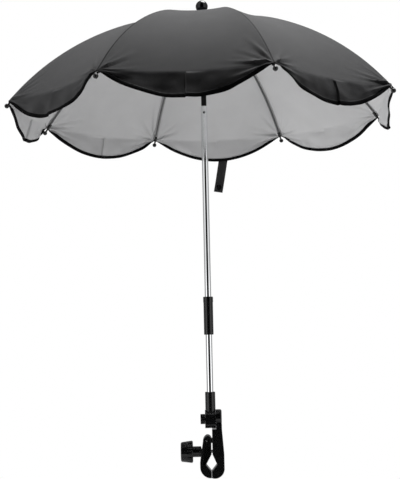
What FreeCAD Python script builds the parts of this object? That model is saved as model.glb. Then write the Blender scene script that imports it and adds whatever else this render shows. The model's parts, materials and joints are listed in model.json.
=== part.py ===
"""Pram parasol: an eight-rib folding canopy on a tilting, telescoping mast with a tube clamp.

Millimetres, +Z up along the mast. The origin is the middle of the clamp's tube grip, +Y runs along
the gripped tube and +X points from the swinging jaw to the fixed arm.
"""
import FreeCAD
import Part
import math
import os

from FreeCAD import Vector

# Fits
RUN_GAP = 0.05          # radial play of pins and studs
SLIDE_GAP = 0.1         # radial play of sliding sleeves
TELESCOPE_GAP = 0.2     # radial play between the two mast tubes
SIDE_GAP = 0.2          # play beside tongues, forks and slots
CLOTH_GAP = 1.15        # ridge of the cloth over a rib's back; it falls away to the rib's edges
CUT_SPARE = 1.0         # how far a cut, or the root of a joined piece, runs on

# Clamp, in the plane across the gripped tube
CLAMP_DEPTH = 26.0
GRIP_HALF_WIDTH = 10.2
GRIP_TOP = 19.0
GRIP_BOTTOM = -12.5
LIP_GAP = 0.3
ARM_FACE = 2.0
JAW_FACE = 0.2
CLAMP_BOTTOM = -24.4
ARM_BACK = 23.8
ARM_TOP_BACK = 20.5
ARM_SHELF = 64.3
ARM_BOSS_RADIUS = 14.6
ARM_BOSS_HEIGHT = 85.6
ARM_BOSS_FOOT = 74.7
ARM_BOSS_ROUND = 3.0
ARM_HEEL = 18.5
ARM_HEEL_BULGE = 8.0
JAW_PIVOT_X = -8.5
JAW_PIVOT_Z = 43.5
JAW_EAR_RADIUS = 9.6
JAW_CHEEK = 48.5
JAW_CHEEK_BULGE = 2.0
JAW_SHOULDER_X = -15.3
JAW_SHOULDER_Z = 41.2
JAW_SHOULDER_BULGE = 2.0
JAW_BULGE = -21.2
JAW_BULGE_HIGH = 4.0
JAW_BULGE_LOW = -5.0
JAW_HEEL_BULGE = 6.0
JAW_PAD = -16.6
JAW_PAD_SPARE = 0.5
JAW_PAD_SLIDE = 5.5
JAW_RIM = 5.6
JAW_WEB_LIP = 2.2
JAW_WEB_RECESS = 4.0
LUG_RADIUS = 4.6
LUG_WIDTH = 9.0
LUG_CLEARANCE = 0.7
JAW_PIN_RADIUS = 2.0
JAW_PIN_INSET = 0.5
EDGE_ROUND = 1.2

# Clamp screw along X
SCREW_HEIGHT = 23.0
STUD_RADIUS = 3.0
STUD_INNER_END = 16.5
STUD_HOLE_GAP = 0.5
STUD_SLOT_DROP = 4.4
STUD_SLOT_RISE = 2.1
INSERT_RADIUS = 4.5
SCREW_INSERT_LENGTH = 12.0
BLIND_BORE_SPARE = 3.0
PAD_GAP = 0.6
WASHER_RADIUS = 9.9
WASHER_DOME_RADIUS = 25.0
WASHER_RIM = 2.4
SHANK_LENGTH = 12.5
KNOB_LENGTH = 22.3
KNOB_FRONT_RADIUS = 18.0
KNOB_BACK_RADIUS = 20.4
KNOB_FLUTES = 10
KNOB_FLUTE_RADIUS = 4.5
KNOB_FLUTE_DEPTH = 1.7
KNOB_STUD_DEPTH = 14.0

# Swivel between arm and socket
SWIVEL_HEIGHT = 82.7
SOCKET_EAR_RADIUS = 16.9
SOCKET_EAR_HALF = 14.6
SOCKET_FRONT = -10.3
SOCKET_BACK = 9.4
EAR_GAP = 0.15
SOCKET_TUBE_RADIUS = 9.4
SOCKET_REACH = 50.0
SOCKET_DEPTH = 29.0
SOCKET_LIP = 1.0
BOLT_RADIUS = 3.0
BOLT_INSERT_LENGTH = 7.0
LOCK_KNOB_RADIUS = 9.3
LOCK_KNOB_LENGTH = 8.4
LOCK_KNOB_FLUTES = 14
LOCK_KNOB_FLUTE_RADIUS = 1.2
LOCK_KNOB_STUD_DEPTH = 5.0

# Mast tubes and the tilt knuckle
MAST_RADIUS = 6.0
TUBE_WALL = 0.8
TILT_HEIGHT = 251.7
KNUCKLE_FLOOR = 6.7
KNUCKLE_COLLAR = 2.0
KNUCKLE_NECK = 8.0
KNUCKLE_PLUG = 21.0
KNUCKLE_RADIUS = 5.0
TONGUE_WIDTH = 6.0
TILT_PIN_RADIUS = 2.0
MAST_LENGTH = 408.8
SLEEVE_LENGTH = 71.0
SLEEVE_BELOW_PIN = 13.0
SLEEVE_RADIUS = 9.3
SLEEVE_BORE = 7.5
SLEEVE_BUSH = 12.0
SLEEVE_BAND = 11.0
SLEEVE_BAND_STEP = 0.4
SLEEVE_FOOT_ROUND = 1.2
SLEEVE_CHAMFER = 1.0

# Telescoping head tube and its snap button
HEAD_INSERTION = 100.0
TELESCOPE_TRAVEL = 80.0
BUTTON_BELOW_TOP = 12.5
BUTTON_RADIUS = 2.2
BUTTON_PROUD = 1.4
BUTTON_DOME = 1.0
BUTTON_FLANGE_RADIUS = 2.9
BUTTON_FLANGE = 1.0
BUTTON_HOLE_GAP = 0.15
SPRING_WIDTH = 4.0
SPRING_THICKNESS = 0.4
SPRING_LENGTH = 22.0

# Crown, cap and finial
CROWN_LIFT = 154.0
CROWN_PIVOT_RADIUS = 8.0
CROWN_RADIUS = 11.5
CROWN_BELOW = 2.6
CROWN_ABOVE = 5.3
CROWN_SLOT_ROOT = 6.0
WIRE_RADIUS = 0.6
WIRE_HOLE_GAP = 0.15
CAP_RADIUS = 17.0
CAP_THICKNESS = 1.5
CAP_LIFT = 5.6
FINIAL_BALL_RADIUS = 11.65
FINIAL_BALL_LIFT = 39.2
FINIAL_NECK_RADIUS = 7.6
FINIAL_WAIST_RADIUS = 6.6
FINIAL_FLANGE_RADIUS = 12.5
FINIAL_FLANGE = 2.4
FINIAL_SPIGOT = 10.0

# Ribs: a U channel on two tangent arcs, then a straight tip
RIB_COUNT = 8
FIRST_RIB_AZIMUTH = 17.66
RIB_RISE = 12.1
SHOULDER_RADIUS = 262.2
SHOULDER_TURN = 31.6
SPAN_RADIUS = 482.2
SPAN_TURN = 29.1
TIP_RUN = 20.0
RIB_WIDTH = 2.4
RIB_BACK = 1.3
RIB_BELLY = 1.9
RIB_WALL = 0.45
RIB_TONGUE = 7.0
RIB_TONGUE_OVERLAP = 4.0
RIB_EYE_RADIUS = 1.6
RIB_TANG_HALF = 0.8

# Rib tips
TIP_BLOCK_LENGTH = 12.0
TIP_BLOCK_WIDTH = 5.6
TIP_BLOCK_SINK = 0.8
TIP_BLOCK_BELLY = 3.4
TIP_BLOCK_ROUND = 1.0
TIP_NECK_RADIUS = 1.75
TIP_BALL_RADIUS = 4.3
TIP_BALL_REACH = 10.0
TIP_AXIS_DROP = 0.9
TANG_GAP = 0.1

# Stretchers, from a rivet on the rib to the runner's wire
JOINT_ARC = 146.0
JOINT_DROP = 0.6
RUNNER_DROP = 71.1
RUNNER_PIVOT_RADIUS = 11.5
STRETCHER_WIDTH = 2.4
STRETCHER_HEIGHT = 3.0
FORK_EAR = 0.8
FORK_EYE_RADIUS = 1.8
FORK_REACH = 6.5
FORK_BRIDGE = 4.0
RIVET_RADIUS = 0.7
RIVET_HOLE_GAP = 0.1
RIVET_HEAD_RADIUS = 1.4
RIVET_HEAD = 0.6
HOOK_LIP = 1.15
HOOK_REACH = 1.6
HOOK_SLOPE = 3.3

# Runner and the guide sleeve that it rides on
RUNNER_WIRE_RADIUS = 0.7
RUNNER_BARREL_RADIUS = 9.4
RUNNER_ABOVE = 5.0
RUNNER_BELOW = 57.0
RUNNER_COLLAR_RADIUS = 15.5
RUNNER_COLLAR_HALF = 3.2
RUNNER_BORE_GAP = 0.2
RUNNER_KEYWAY_GAP = 0.6
RUNNER_FOOT = 6.0
RUNNER_FOOT_RADIUS = 10.6
GUIDE_OVERHANG = 4.0

# Canopy: one kite-shaped panel over each rib, with a scalloped flap below the rim fold
CLOTH_THICKNESS = 0.8
PANEL_INNER_RADIUS = 13.2
PANEL_SEAM_GAP = 0.15
GORE_SAG = 0.027
FLAP_DEPTH = 46.5
FLAP_CORNER_DEPTH = 0.4
FLAP_FLARE = 14.0
PANEL_STATIONS = (0.0, 0.05, 0.14, 0.24, 0.34, 0.43, 0.5)

# Tie strap on the back gore
STRAP_RIB = 2
STRAP_PLACE = 0.46
STRAP_WIDTH = 19.5
STRAP_THICKNESS = 1.2
STRAP_OVERLAP = 14.0
STRAP_HANG = 70.0
STRAP_LEAN = 10.0
STRAP_STANDOFF = 0.7
STUD_CAP_RADIUS = 6.0
STUD_CAP_HEIGHT = 2.0
STUD_CAP_INSET = 11.0

# Worked out from the sizes above
HALF_DEPTH = CLAMP_DEPTH / 2
EAR_FRONT = SOCKET_BACK + EAR_GAP
TUBE_BORE = MAST_RADIUS - TUBE_WALL
HEAD_RADIUS = TUBE_BORE - TELESCOPE_GAP
HEAD_BORE = HEAD_RADIUS - TUBE_WALL
SOCKET_MOUTH = SWIVEL_HEIGHT + SOCKET_REACH
LOWER_TUBE_FOOT = SOCKET_MOUTH - SOCKET_DEPTH
LOWER_TUBE_TOP = TILT_HEIGHT - KNUCKLE_FLOOR - KNUCKLE_COLLAR
MAST_FOOT = TILT_HEIGHT + KNUCKLE_NECK + KNUCKLE_COLLAR
MAST_TOP = MAST_FOOT + MAST_LENGTH
SLEEVE_FOOT = TILT_HEIGHT - SLEEVE_BELOW_PIN
SLEEVE_TOP = SLEEVE_FOOT + SLEEVE_LENGTH
BUTTON_HEIGHT = MAST_TOP - BUTTON_BELOW_TOP
BUTTON_OUT = MAST_RADIUS + BUTTON_PROUD
PIVOT_HEIGHT = MAST_TOP + CROWN_LIFT
CAP_TOP = PIVOT_HEIGHT + CAP_LIFT + CAP_THICKNESS
HEAD_TOP = CAP_TOP + FINIAL_SPIGOT
RUNNER_HEIGHT = PIVOT_HEIGHT - RUNNER_DROP
RUNNER_BORE = MAST_RADIUS + RUNNER_BORE_GAP
CLOTH_BASE = RIB_BACK + CLOTH_GAP
CLOTH_TOP = CLOTH_BASE + CLOTH_THICKNESS
PITCH = 2 * math.pi / RIB_COUNT


def rod_x(radius, start, end, height):
    return Part.makeCylinder(radius, end - start, Vector(start, 0, height), Vector(1, 0, 0))


def rod_y(radius, start, end, x, z):
    return Part.makeCylinder(radius, end - start, Vector(x, start, z), Vector(0, 1, 0))


def rod_z(radius, low, high):
    return Part.makeCylinder(radius, high - low, Vector(0, 0, low))


def tube_z(outer, inner, low, high):
    return rod_z(outer, low, high).cut(rod_z(inner, low, high))


def block(x_low, x_high, y_half, z_low, z_high):
    corner = Vector(x_low, -y_half, z_low)
    return Part.makeBox(x_high - x_low, 2 * y_half, z_high - z_low, corner)


def outline_face(points):
    """Face in the XZ plane. A pair is a straight run to a point, four numbers an arc by a point."""
    edges = []
    here = Vector(points[0][0], 0, points[0][1])
    for point in list(points[1:]) + [points[0][:2]]:
        there = Vector(point[-2], 0, point[-1])
        if len(point) == 4:
            by = Vector(point[0], 0, point[1])
            edges.append(Part.Arc(here, by, there).toShape())
        elif (there - here).Length > 1e-6:
            edges.append(Part.LineSegment(here, there).toShape())
        here = there
    return Part.Face(Part.Wire(edges))


def bowed(start, end, bulge):
    """Outline entry for an arc that bows out to the right of its chord by bulge."""
    chord = math.hypot(end[0] - start[0], end[1] - start[1])
    x = (start[0] + end[0]) / 2 + bulge * (end[1] - start[1]) / chord
    z = (start[1] + end[1]) / 2 - bulge * (end[0] - start[0]) / chord
    return (x, z) + tuple(end)


def slab(points, half_width, y_middle=0.0):
    """The outline, thickened along Y to both sides of y_middle."""
    solid = outline_face(points).extrude(Vector(0, 2 * half_width, 0))
    return solid.translated(Vector(0, y_middle - half_width, 0))


def turned_z(points):
    """Solid of revolution about Z from an outline in the XZ half plane."""
    return outline_face(points).revolve(Vector(0, 0, 0), Vector(0, 0, 1), 360)


def turned_x(points, height):
    """Solid of revolution about an X axis, from (x, radius) points."""
    lifted = [tuple(v if i % 2 == 0 else v + height for i, v in enumerate(p)) for p in points]
    return outline_face(lifted).revolve(Vector(0, 0, height), Vector(1, 0, 0), 360)


def ring(radius, wire_radius, height):
    return Part.makeTorus(radius, wire_radius, Vector(0, 0, height))


def about_mast(shape, degrees):
    return shape.rotated(Vector(0, 0, 0), Vector(0, 0, 1), degrees)


def rounded_side_edges(shape, y_half, radius):
    """Round the edges that lie in the two side faces of a slab."""
    edges = [e for e in shape.Edges if all(abs(abs(v.Y) - y_half) < 1e-6 for v in e.Vertexes)]
    return shape.makeFillet(radius, edges)


# Clamp

def clamp_arm():
    toe = (LIP_GAP / 2, CLAMP_BOTTOM)
    outline = [
        (ARM_FACE, ARM_SHELF),
        (ARM_FACE, GRIP_TOP),
        (GRIP_HALF_WIDTH, 0),
        (LIP_GAP / 2, GRIP_BOTTOM),
        toe,
        bowed(toe, (ARM_BACK, CLAMP_BOTTOM + ARM_HEEL), ARM_HEEL_BULGE),
        (ARM_BACK, GRIP_TOP),
        (ARM_TOP_BACK, ARM_SHELF),
        (ARM_TOP_BACK, ARM_BOSS_FOOT),
        (EAR_FRONT, ARM_BOSS_FOOT),
        (EAR_FRONT, ARM_SHELF),
    ]
    waist = ARM_TOP_BACK - ARM_BOSS_ROUND
    shoulder = ARM_BOSS_RADIUS - ARM_BOSS_ROUND
    diagonal = ARM_BOSS_ROUND * math.sqrt(0.5)
    boss = [
        (EAR_FRONT, 0),
        (EAR_FRONT, ARM_BOSS_RADIUS),
        (waist, ARM_BOSS_RADIUS),
        (waist + diagonal, shoulder + diagonal, ARM_TOP_BACK, shoulder),
        (ARM_TOP_BACK, 0),
    ]
    arm = rounded_side_edges(slab(outline, HALF_DEPTH), HALF_DEPTH, EDGE_ROUND)
    arm = arm.fuse(turned_x(boss, ARM_BOSS_HEIGHT))
    lug = rod_y(LUG_RADIUS, -LUG_WIDTH / 2, LUG_WIDTH / 2, JAW_PIVOT_X, JAW_PIVOT_Z)
    neck = block(JAW_PIVOT_X, ARM_FACE + EDGE_ROUND, LUG_WIDTH / 2,
                 JAW_PIVOT_Z - LUG_RADIUS, JAW_PIVOT_Z + LUG_RADIUS)
    arm = arm.fuse(lug).fuse(neck)
    bores = [
        rod_y(JAW_PIN_RADIUS, -HALF_DEPTH, HALF_DEPTH, JAW_PIVOT_X, JAW_PIVOT_Z),
        rod_x(INSERT_RADIUS, ARM_FACE, ARM_FACE + SCREW_INSERT_LENGTH, SCREW_HEIGHT),
        rod_x(STUD_RADIUS + STUD_HOLE_GAP, ARM_FACE, STUD_INNER_END + BLIND_BORE_SPARE, SCREW_HEIGHT),
        rod_x(INSERT_RADIUS, EAR_FRONT, EAR_FRONT + BOLT_INSERT_LENGTH, SWIVEL_HEIGHT),
    ]
    return arm.cut(bores).removeSplitter()


def clamp_jaw():
    neck = JAW_PIVOT_Z - JAW_EAR_RADIUS
    toe = (-LIP_GAP / 2, CLAMP_BOTTOM)
    shoulder = (JAW_SHOULDER_X, JAW_SHOULDER_Z)
    crest = (JAW_PIVOT_X, JAW_PIVOT_Z + JAW_EAR_RADIUS)
    outline = [
        (JAW_FACE, GRIP_TOP),
        (-GRIP_HALF_WIDTH, 0),
        (-LIP_GAP / 2, GRIP_BOTTOM),
        toe,
        bowed(toe, (JAW_BULGE, JAW_BULGE_LOW), -JAW_HEEL_BULGE),
        (JAW_BULGE, JAW_BULGE_HIGH),
        shoulder,
        bowed(shoulder, crest, -JAW_SHOULDER_BULGE),
        bowed(crest, (JAW_FACE, JAW_CHEEK), -JAW_CHEEK_BULGE),
    ]
    jaw = rounded_side_edges(slab(outline, HALF_DEPTH), HALF_DEPTH, EDGE_ROUND)
    seat_half = WASHER_RADIUS + JAW_PAD_SPARE
    seat = block(JAW_BULGE, JAW_PAD, seat_half, SCREW_HEIGHT - seat_half - JAW_PAD_SLIDE,
                 SCREW_HEIGHT + seat_half + JAW_PAD_SPARE)
    jaw = jaw.cut(seat)
    web_high = neck - LUG_CLEARANCE
    web = [
        (JAW_BULGE + JAW_RIM, 0),
        (JAW_BULGE + JAW_RIM, JAW_BULGE_HIGH),
        (JAW_PAD + JAW_RIM, web_high),
        (JAW_FACE - JAW_WEB_LIP, web_high),
        (JAW_FACE - JAW_WEB_LIP, GRIP_TOP),
        (-GRIP_HALF_WIDTH - JAW_WEB_LIP, 0),
    ]
    for side in (-1, 1):
        jaw = jaw.cut(slab(web, JAW_WEB_RECESS, side * HALF_DEPTH))
    lug_room = LUG_RADIUS + LUG_CLEARANCE
    lug_slot = block(JAW_PIVOT_X - lug_room, ARM_FACE, LUG_WIDTH / 2 + SIDE_GAP,
                     JAW_PIVOT_Z - lug_room, JAW_PIVOT_Z + JAW_EAR_RADIUS + CUT_SPARE)
    jaw = jaw.cut(lug_slot)
    slot_half = STUD_RADIUS + STUD_HOLE_GAP
    slot_low = SCREW_HEIGHT - STUD_SLOT_DROP
    slot_high = SCREW_HEIGHT + STUD_SLOT_RISE
    stud_slot = rod_x(slot_half, JAW_BULGE, ARM_FACE, slot_low).fuse(
        rod_x(slot_half, JAW_BULGE, ARM_FACE, slot_high)).fuse(
        block(JAW_BULGE, ARM_FACE, slot_half, slot_low, slot_high))
    jaw = jaw.cut(stud_slot)
    pin_bore = rod_y(JAW_PIN_RADIUS + RUN_GAP, -HALF_DEPTH, HALF_DEPTH, JAW_PIVOT_X, JAW_PIVOT_Z)
    return jaw.cut(pin_bore).removeSplitter()


def jaw_hinge_pin():
    reach = HALF_DEPTH - JAW_PIN_INSET
    return rod_y(JAW_PIN_RADIUS, -reach, reach, JAW_PIVOT_X, JAW_PIVOT_Z)


def threaded_inserts():
    """Brass sleeves in the arm: one for the clamp screw, one for the swivel bolt."""
    screw = rod_x(INSERT_RADIUS, ARM_FACE, ARM_FACE + SCREW_INSERT_LENGTH, SCREW_HEIGHT)
    screw = screw.cut(rod_x(STUD_RADIUS + RUN_GAP, ARM_FACE, ARM_BACK, SCREW_HEIGHT))
    bolt = rod_x(INSERT_RADIUS, EAR_FRONT, EAR_FRONT + BOLT_INSERT_LENGTH, SWIVEL_HEIGHT)
    bolt = bolt.cut(rod_x(BOLT_RADIUS + RUN_GAP, EAR_FRONT, ARM_BACK, SWIVEL_HEIGHT))
    return Part.makeCompound([screw, bolt])


WASHER_FRONT = JAW_PAD - PAD_GAP
WASHER_DOME = WASHER_DOME_RADIUS - math.sqrt(WASHER_DOME_RADIUS ** 2 - WASHER_RADIUS ** 2)
WASHER_BACK = WASHER_FRONT - WASHER_DOME - WASHER_RIM
SHANK_END = WASHER_BACK - SHANK_LENGTH
KNOB_END = SHANK_END - KNOB_LENGTH


def dome_x(radius):
    """X of the washer's domed face at a distance from the screw axis."""
    centre = WASHER_FRONT - WASHER_DOME_RADIUS
    return centre + math.sqrt(WASHER_DOME_RADIUS ** 2 - radius ** 2)


def thrust_washer():
    bore = STUD_RADIUS + RUN_GAP
    middle = (bore + WASHER_RADIUS) / 2
    outline = [
        (WASHER_BACK, bore),
        (dome_x(bore), bore),
        (dome_x(middle), middle, dome_x(WASHER_RADIUS), WASHER_RADIUS),
        (WASHER_BACK, WASHER_RADIUS),
    ]
    return turned_x(outline, SCREW_HEIGHT)


def fluted_knob(front, back, front_radius, back_radius, flutes, flute_radius, flute_depth, height):
    """Tapered hand knob along X with round flutes in its rim."""
    ease = flute_depth
    outline = [
        (front, 0),
        (front, front_radius - ease),
        (front + ease, front_radius),
        (back - ease, back_radius),
        (back, back_radius - ease),
        (back, 0),
    ]
    knob = turned_x(outline, height)
    reach = max(front_radius, back_radius) + flute_radius - flute_depth
    for i in range(flutes):
        angle = 2 * math.pi * i / flutes
        middle = Vector(front - CUT_SPARE, reach * math.sin(angle), height + reach * math.cos(angle))
        flute = Part.makeCylinder(flute_radius, back - front + 2 * CUT_SPARE, middle, Vector(1, 0, 0))
        knob = knob.cut(flute)
    return knob


def clamp_knob():
    knob = fluted_knob(KNOB_END, SHANK_END, KNOB_FRONT_RADIUS, KNOB_BACK_RADIUS, KNOB_FLUTES,
                       KNOB_FLUTE_RADIUS, KNOB_FLUTE_DEPTH, SCREW_HEIGHT)
    knob = knob.fuse(rod_x(WASHER_RADIUS, SHANK_END - CUT_SPARE, WASHER_BACK, SCREW_HEIGHT))
    stud_bore = rod_x(STUD_RADIUS, SHANK_END - KNOB_STUD_DEPTH, WASHER_BACK, SCREW_HEIGHT)
    return knob.cut(stud_bore).removeSplitter()


def clamp_stud():
    return rod_x(STUD_RADIUS, SHANK_END - KNOB_STUD_DEPTH, STUD_INNER_END, SCREW_HEIGHT)


# Swivel

LOCK_KNOB_BACK = SOCKET_FRONT - EAR_GAP
LOCK_KNOB_FRONT = LOCK_KNOB_BACK - LOCK_KNOB_LENGTH


def swivel_socket():
    ear = rod_x(SOCKET_EAR_RADIUS, SOCKET_FRONT, SOCKET_BACK, SWIVEL_HEIGHT)
    ear = ear.common(block(SOCKET_FRONT, SOCKET_BACK, SOCKET_EAR_HALF,
                           SWIVEL_HEIGHT - SOCKET_EAR_RADIUS, SWIVEL_HEIGHT + SOCKET_EAR_RADIUS))
    outline = [
        (0, SWIVEL_HEIGHT),
        (SOCKET_TUBE_RADIUS, SWIVEL_HEIGHT),
        (SOCKET_TUBE_RADIUS, SOCKET_MOUTH - SOCKET_LIP),
        (SOCKET_TUBE_RADIUS - SOCKET_LIP, SOCKET_MOUTH),
        (0, SOCKET_MOUTH),
    ]
    socket = ear.fuse(turned_z(outline))
    socket = socket.cut(rod_z(MAST_RADIUS, LOWER_TUBE_FOOT, SOCKET_MOUTH))
    bolt_bore = rod_x(BOLT_RADIUS + RUN_GAP, SOCKET_FRONT, SOCKET_BACK, SWIVEL_HEIGHT)
    return socket.cut(bolt_bore).removeSplitter()


def lock_knob():
    knob = fluted_knob(LOCK_KNOB_FRONT, LOCK_KNOB_BACK, LOCK_KNOB_RADIUS, LOCK_KNOB_RADIUS,
                       LOCK_KNOB_FLUTES, LOCK_KNOB_FLUTE_RADIUS, LOCK_KNOB_FLUTE_RADIUS / 2,
                       SWIVEL_HEIGHT)
    return knob.cut(rod_x(BOLT_RADIUS, LOCK_KNOB_BACK - LOCK_KNOB_STUD_DEPTH, LOCK_KNOB_BACK,
                          SWIVEL_HEIGHT))


def swivel_bolt():
    end = EAR_FRONT + BOLT_INSERT_LENGTH - SIDE_GAP
    return rod_x(BOLT_RADIUS, LOCK_KNOB_BACK - LOCK_KNOB_STUD_DEPTH, end, SWIVEL_HEIGHT)


# Mast

def lower_tube():
    return tube_z(MAST_RADIUS, TUBE_BORE, LOWER_TUBE_FOOT, LOWER_TUBE_TOP)


def lower_knuckle():
    floor = TILT_HEIGHT - KNUCKLE_FLOOR
    plug = rod_z(TUBE_BORE, LOWER_TUBE_TOP - KNUCKLE_PLUG, LOWER_TUBE_TOP)
    collar = rod_z(MAST_RADIUS, LOWER_TUBE_TOP, floor)
    fork = block(-KNUCKLE_RADIUS, KNUCKLE_RADIUS, MAST_RADIUS, floor, TILT_HEIGHT)
    fork = fork.fuse(rod_y(KNUCKLE_RADIUS, -MAST_RADIUS, MAST_RADIUS, 0, TILT_HEIGHT))
    gap = block(-MAST_RADIUS, MAST_RADIUS, TONGUE_WIDTH / 2 + SIDE_GAP, floor,
                TILT_HEIGHT + MAST_RADIUS)
    fork = fork.cut(gap).common(rod_z(MAST_RADIUS, floor, TILT_HEIGHT + MAST_RADIUS))
    knuckle = plug.fuse(collar).fuse(fork)
    bore = rod_y(TILT_PIN_RADIUS, -MAST_RADIUS, MAST_RADIUS, 0, TILT_HEIGHT)
    return knuckle.cut(bore).removeSplitter()


def tilt_pin():
    reach = math.sqrt(MAST_RADIUS ** 2 - TILT_PIN_RADIUS ** 2)
    return rod_y(TILT_PIN_RADIUS, -reach, reach, 0, TILT_HEIGHT)


def upper_knuckle():
    neck_top = TILT_HEIGHT + KNUCKLE_NECK
    tongue = block(-KNUCKLE_RADIUS, KNUCKLE_RADIUS, TONGUE_WIDTH / 2, TILT_HEIGHT, neck_top)
    tongue = tongue.fuse(rod_y(KNUCKLE_RADIUS, -TONGUE_WIDTH / 2, TONGUE_WIDTH / 2, 0, TILT_HEIGHT))
    collar = rod_z(MAST_RADIUS, neck_top, MAST_FOOT)
    plug = rod_z(TUBE_BORE, MAST_FOOT, MAST_FOOT + KNUCKLE_PLUG)
    knuckle = tongue.fuse(collar).fuse(plug)
    bore = rod_y(TILT_PIN_RADIUS + RUN_GAP, -MAST_RADIUS, MAST_RADIUS, 0, TILT_HEIGHT)
    return knuckle.cut(bore).removeSplitter()


def mast_tube():
    tube = tube_z(MAST_RADIUS, TUBE_BORE, MAST_FOOT, MAST_TOP)
    hole = BUTTON_RADIUS + BUTTON_HOLE_GAP
    return tube.cut(rod_y(hole, -MAST_RADIUS - CUT_SPARE, 0, 0, BUTTON_HEIGHT))


def locking_sleeve():
    band_foot = SLEEVE_TOP - SLEEVE_BAND
    bush_foot = SLEEVE_TOP - SLEEVE_BUSH
    body = SLEEVE_RADIUS - SLEEVE_BAND_STEP
    guide = MAST_RADIUS + SLIDE_GAP
    corner = SLEEVE_FOOT_ROUND * (1 - math.sqrt(0.5))
    outline = [
        (SLEEVE_BORE, SLEEVE_FOOT),
        (body - SLEEVE_FOOT_ROUND, SLEEVE_FOOT),
        (body - corner, SLEEVE_FOOT + corner, body, SLEEVE_FOOT + SLEEVE_FOOT_ROUND),
        (body, band_foot),
        (SLEEVE_RADIUS, band_foot + SLEEVE_BAND_STEP),
        (SLEEVE_RADIUS, SLEEVE_TOP - SLEEVE_CHAMFER),
        (SLEEVE_RADIUS - SLEEVE_CHAMFER, SLEEVE_TOP),
        (guide, SLEEVE_TOP),
        (guide, bush_foot),
        (SLEEVE_BORE, bush_foot),
    ]
    return turned_z(outline)


def upper_tube():
    foot = MAST_TOP - HEAD_INSERTION
    tube = tube_z(HEAD_RADIUS, HEAD_BORE, foot, HEAD_TOP)
    slot_half = BUTTON_RADIUS + TELESCOPE_GAP
    slot_low = BUTTON_HEIGHT - TELESCOPE_TRAVEL
    slot = Part.makeBox(2 * slot_half, HEAD_RADIUS, TELESCOPE_TRAVEL,
                        Vector(-slot_half, -HEAD_RADIUS, slot_low))
    for z in (slot_low, BUTTON_HEIGHT):
        slot = slot.fuse(rod_y(slot_half, -HEAD_RADIUS, 0, 0, z))
    return tube.cut(slot)


def flange_face():
    """Y of the snap button's flange, where its edge clears the head tube's bore."""
    return -math.sqrt(HEAD_BORE ** 2 - BUTTON_FLANGE_RADIUS ** 2) + SIDE_GAP


def snap_button():
    flange = flange_face()
    stem = rod_y(BUTTON_RADIUS, -BUTTON_OUT + BUTTON_DOME, flange, 0, BUTTON_HEIGHT)
    dome_radius = (BUTTON_RADIUS ** 2 + BUTTON_DOME ** 2) / (2 * BUTTON_DOME)
    dome = Part.makeSphere(dome_radius, Vector(0, -BUTTON_OUT + dome_radius, BUTTON_HEIGHT))
    dome = dome.common(rod_y(BUTTON_RADIUS, -BUTTON_OUT, -BUTTON_OUT + BUTTON_DOME, 0, BUTTON_HEIGHT))
    plate = rod_y(BUTTON_FLANGE_RADIUS, flange, flange + BUTTON_FLANGE, 0, BUTTON_HEIGHT)
    return stem.fuse(dome).fuse(plate).removeSplitter()


def snap_spring():
    """Leaf bent to a U inside the head tube, from the button's back to the far wall."""
    front = flange_face() + BUTTON_FLANGE + SPRING_THICKNESS / 2
    back = math.sqrt(HEAD_BORE ** 2 - (SPRING_WIDTH / 2) ** 2) - SIDE_GAP - SPRING_THICKNESS / 2
    bend = (back - front) / 2
    top = BUTTON_HEIGHT + BUTTON_FLANGE_RADIUS
    foot = top - SPRING_LENGTH
    half = SPRING_THICKNESS / 2
    outer = Part.makeCylinder(bend + half, SPRING_WIDTH, Vector(-SPRING_WIDTH / 2, front + bend, foot),
                              Vector(1, 0, 0))
    inner = Part.makeCylinder(bend - half, SPRING_WIDTH, Vector(-SPRING_WIDTH / 2, front + bend, foot),
                              Vector(1, 0, 0))
    below = Part.makeBox(SPRING_WIDTH, 2 * (bend + half), bend + half,
                         Vector(-SPRING_WIDTH / 2, front - half, foot - bend - half))
    spring = outer.cut(inner).common(below)
    for y in (front, back):
        leg = Part.makeBox(SPRING_WIDTH, SPRING_THICKNESS, top - foot,
                           Vector(-SPRING_WIDTH / 2, y - half, foot))
        spring = spring.fuse(leg)
    return spring.removeSplitter()


# Crown, cap, finial

def radial_slots(root, reach, half_width, low, high):
    """One slot per rib, cut outward from the root radius."""
    cutter = Part.makeBox(reach - root, 2 * half_width, high - low, Vector(root, -half_width, low))
    return [about_mast(cutter, rib_azimuth(k)) for k in range(RIB_COUNT)]


def rib_azimuth(k):
    return FIRST_RIB_AZIMUTH + math.degrees(PITCH) * k


def crown():
    low = PIVOT_HEIGHT - CROWN_BELOW
    body = tube_z(CROWN_RADIUS, HEAD_RADIUS, low, PIVOT_HEIGHT + CROWN_ABOVE)
    half = RIB_WIDTH / 2 - RIB_WALL + SIDE_GAP
    slot_top = PIVOT_HEIGHT + CROWN_BELOW
    body = body.cut(radial_slots(CROWN_SLOT_ROOT, 2 * CROWN_RADIUS, half, low, slot_top))
    return body.cut(ring(CROWN_PIVOT_RADIUS, WIRE_RADIUS, PIVOT_HEIGHT))


def crown_wire():
    return ring(CROWN_PIVOT_RADIUS, WIRE_RADIUS, PIVOT_HEIGHT)


def canopy_cap():
    return tube_z(CAP_RADIUS, HEAD_RADIUS, PIVOT_HEIGHT + CAP_LIFT, CAP_TOP)


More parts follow.
